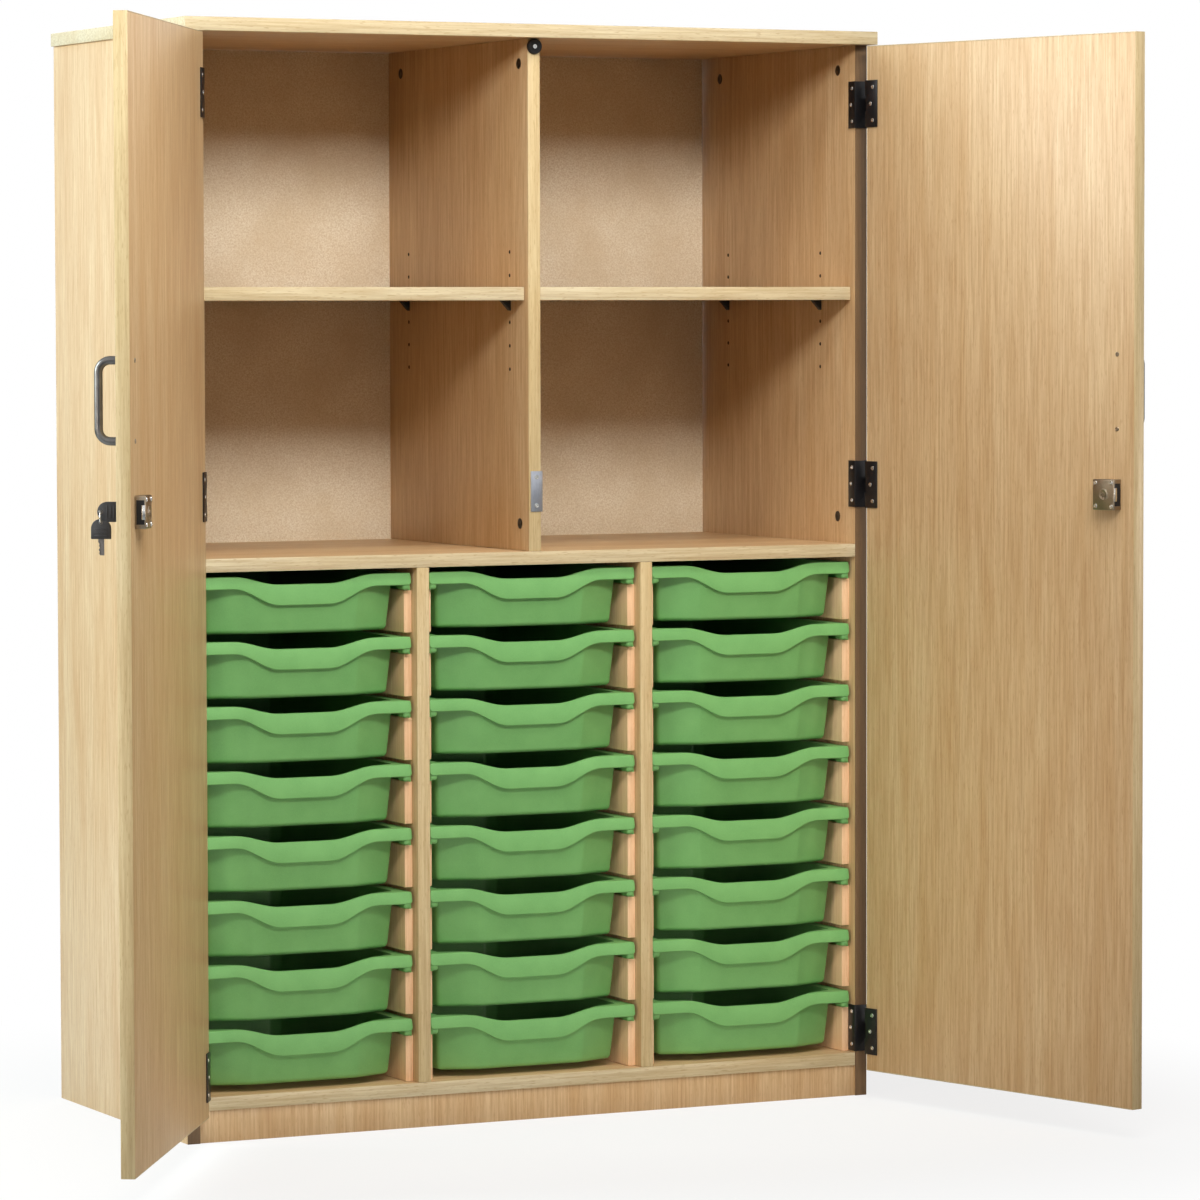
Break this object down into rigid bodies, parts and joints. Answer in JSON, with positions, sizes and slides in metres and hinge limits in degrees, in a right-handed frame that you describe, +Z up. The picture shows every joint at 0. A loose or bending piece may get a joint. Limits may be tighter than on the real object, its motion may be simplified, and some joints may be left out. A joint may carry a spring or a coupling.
{
  "type": "classroom tray storage unit",
  "caption": "Free-standing classroom cupboard with lockable double doors, adjustable shelves above and columns of sliding storage trays below.",
  "frame": {"origin": "on the floor, at the middle of the plinth's bottom edge, below the front of the cupboard", "axes": "+Z up, the doors and trays face -Y, +X to the right as seen from the front"},
  "size_m": [1.4634, 1.0096, 1.49],
  "materials": {
    "beech_laminate": "beech-effect melamine, satin",
    "hardboard": "plain hardboard, matt",
    "tray_green": "moulded, satin gloss",
    "hinge_black": "black plated steel",
    "brushed_steel": "brushed, satin",
    "lock_nickel": "nickel plated die casting",
    "black_plastic": "moulded, fine texture",
    "black_rubber": "moulded, matt"
  },
  "bodies": {
    "carcass": {"side_panel_left": "beech_laminate", "side_panel_right": "beech_laminate", "top_panel": "beech_laminate", "base_panel": "beech_laminate", "mid_shelf": "beech_laminate", "plinth": "beech_laminate", "tray_divider_left": "beech_laminate", "tray_divider_right": "beech_laminate", "upper_divider": "beech_laminate", "shelf_left": "beech_laminate", "shelf_right": "beech_laminate", "back_panel": "hardboard", "hinge_frame_leaf_left_top": "hinge_black", "hinge_frame_leaf_left_middle": "hinge_black", "hinge_frame_leaf_left_bottom": "hinge_black", "hinge_frame_leaf_right_top": "hinge_black", "hinge_frame_leaf_right_middle": "hinge_black", "hinge_frame_leaf_right_bottom": "hinge_black", "strike_plate": "brushed_steel", "door_buffer": "black_rubber"},
    "left_door": {"door_left": "beech_laminate", "handle_left": "brushed_steel", "hinge_door_leaf_left_top": "hinge_black", "hinge_door_leaf_left_middle": "hinge_black", "hinge_door_leaf_left_bottom": "hinge_black", "lock_case_left": "lock_nickel"},
    "left_key": {"lock_key_left": "black_plastic"},
    "left_bolt": {"lock_bolt_left": "brushed_steel"},
    "right_door": {"door_right": "beech_laminate", "handle_right": "brushed_steel", "hinge_door_leaf_right_top": "hinge_black", "hinge_door_leaf_right_middle": "hinge_black", "hinge_door_leaf_right_bottom": "hinge_black", "lock_case_right": "lock_nickel"},
    "right_plug": {"lock_plug_right": "lock_nickel"},
    "right_bolt": {"lock_bolt_right": "brushed_steel"},
    "tray_left_1": {"tray_left_1": "tray_green"},
    "tray_left_2": {"tray_left_2": "tray_green"},
    "tray_left_3": {"tray_left_3": "tray_green"},
    "tray_left_4": {"tray_left_4": "tray_green"},
    "tray_left_5": {"tray_left_5": "tray_green"},
    "tray_left_6": {"tray_left_6": "tray_green"},
    "tray_left_7": {"tray_left_7": "tray_green"},
    "tray_left_8": {"tray_left_8": "tray_green"},
    "tray_middle_1": {"tray_middle_1": "tray_green"},
    "tray_middle_2": {"tray_middle_2": "tray_green"},
    "tray_middle_3": {"tray_middle_3": "tray_green"},
    "tray_middle_4": {"tray_middle_4": "tray_green"},
    "tray_middle_5": {"tray_middle_5": "tray_green"},
    "tray_middle_6": {"tray_middle_6": "tray_green"},
    "tray_middle_7": {"tray_middle_7": "tray_green"},
    "tray_middle_8": {"tray_middle_8": "tray_green"},
    "tray_right_1": {"tray_right_1": "tray_green"},
    "tray_right_2": {"tray_right_2": "tray_green"},
    "tray_right_3": {"tray_right_3": "tray_green"},
    "tray_right_4": {"tray_right_4": "tray_green"},
    "tray_right_5": {"tray_right_5": "tray_green"},
    "tray_right_6": {"tray_right_6": "tray_green"},
    "tray_right_7": {"tray_right_7": "tray_green"},
    "tray_right_8": {"tray_right_8": "tray_green"}
  },
  "joints": [
    {"name": "left_door_swing", "type": "hinge", "parent": "carcass", "child": "left_door", "pos_m": [-0.5145, -0.0378, 0.75], "axis": [0, 0, -1], "range_deg": [-122, 143]},
    {"name": "left_key_turn", "type": "hinge", "parent": "left_door", "child": "left_key", "pos_m": [-0.76383, -0.43681, 0.8585], "axis": [0.848, -0.5299, 0], "range_deg": [0, 180]},
    {"name": "left_bolt_throw", "type": "slide", "parent": "left_door", "child": "left_bolt", "axis": [-0.5299, -0.848, 0], "range_m": [0, 0.02]},
    {"name": "right_door_swing", "type": "hinge", "parent": "carcass", "child": "right_door", "pos_m": [0.5145, -0.0378, 0.75], "axis": [0, 0, 1], "range_deg": [-105, 160]},
    {"name": "right_plug_turn", "type": "hinge", "parent": "right_door", "child": "right_plug", "pos_m": [0.63627, -0.49227, 0.8585], "axis": [-0.9659, -0.2588, 0], "range_deg": [0, 180]},
    {"name": "right_bolt_throw", "type": "slide", "parent": "right_door", "child": "right_bolt", "axis": [0.2588, -0.9659, 0], "range_m": [0, 0.02]},
    {"name": "tray_left_1_pull", "type": "slide", "parent": "carcass", "child": "tray_left_1", "axis": [0, -1, 0], "range_m": [0, 0.38]},
    {"name": "tray_left_2_pull", "type": "slide", "parent": "carcass", "child": "tray_left_2", "axis": [0, -1, 0], "range_m": [0, 0.38]},
    {"name": "tray_left_3_pull", "type": "slide", "parent": "carcass", "child": "tray_left_3", "axis": [0, -1, 0], "range_m": [0, 0.38]},
    {"name": "tray_left_4_pull", "type": "slide", "parent": "carcass", "child": "tray_left_4", "axis": [0, -1, 0], "range_m": [0, 0.38]},
    {"name": "tray_left_5_pull", "type": "slide", "parent": "carcass", "child": "tray_left_5", "axis": [0, -1, 0], "range_m": [0, 0.38]},
    {"name": "tray_left_6_pull", "type": "slide", "parent": "carcass", "child": "tray_left_6", "axis": [0, -1, 0], "range_m": [0, 0.38]},
    {"name": "tray_left_7_pull", "type": "slide", "parent": "carcass", "child": "tray_left_7", "axis": [0, -1, 0], "range_m": [0, 0.38]},
    {"name": "tray_left_8_pull", "type": "slide", "parent": "carcass", "child": "tray_left_8", "axis": [0, -1, 0], "range_m": [0, 0.38]},
    {"name": "tray_middle_1_pull", "type": "slide", "parent": "carcass", "child": "tray_middle_1", "axis": [0, -1, 0], "range_m": [0, 0.38]},
    {"name": "tray_middle_2_pull", "type": "slide", "parent": "carcass", "child": "tray_middle_2", "axis": [0, -1, 0], "range_m": [0, 0.38]},
    {"name": "tray_middle_3_pull", "type": "slide", "parent": "carcass", "child": "tray_middle_3", "axis": [0, -1, 0], "range_m": [0, 0.38]},
    {"name": "tray_middle_4_pull", "type": "slide", "parent": "carcass", "child": "tray_middle_4", "axis": [0, -1, 0], "range_m": [0, 0.38]},
    {"name": "tray_middle_5_pull", "type": "slide", "parent": "carcass", "child": "tray_middle_5", "axis": [0, -1, 0], "range_m": [0, 0.38]},
    {"name": "tray_middle_6_pull", "type": "slide", "parent": "carcass", "child": "tray_middle_6", "axis": [0, -1, 0], "range_m": [0, 0.38]},
    {"name": "tray_middle_7_pull", "type": "slide", "parent": "carcass", "child": "tray_middle_7", "axis": [0, -1, 0], "range_m": [0, 0.38]},
    {"name": "tray_middle_8_pull", "type": "slide", "parent": "carcass", "child": "tray_middle_8", "axis": [0, -1, 0], "range_m": [0, 0.38]},
    {"name": "tray_right_1_pull", "type": "slide", "parent": "carcass", "child": "tray_right_1", "axis": [0, -1, 0], "range_m": [0, 0.38]},
    {"name": "tray_right_2_pull", "type": "slide", "parent": "carcass", "child": "tray_right_2", "axis": [0, -1, 0], "range_m": [0, 0.38]},
    {"name": "tray_right_3_pull", "type": "slide", "parent": "carcass", "child": "tray_right_3", "axis": [0, -1, 0], "range_m": [0, 0.38]},
    {"name": "tray_right_4_pull", "type": "slide", "parent": "carcass", "child": "tray_right_4", "axis": [0, -1, 0], "range_m": [0, 0.38]},
    {"name": "tray_right_5_pull", "type": "slide", "parent": "carcass", "child": "tray_right_5", "axis": [0, -1, 0], "range_m": [0, 0.38]},
    {"name": "tray_right_6_pull", "type": "slide", "parent": "carcass", "child": "tray_right_6", "axis": [0, -1, 0], "range_m": [0, 0.38]},
    {"name": "tray_right_7_pull", "type": "slide", "parent": "carcass", "child": "tray_right_7", "axis": [0, -1, 0], "range_m": [0, 0.38]},
    {"name": "tray_right_8_pull", "type": "slide", "parent": "carcass", "child": "tray_right_8", "axis": [0, -1, 0], "range_m": [0, 0.38]}
  ],
  "couplings": [
    {"joint": "left_key_turn", "follows": "left_bolt_throw", "rad_per_m": 157.08},
    {"joint": "right_plug_turn", "follows": "right_bolt_throw", "rad_per_m": 157.08}
  ]
}
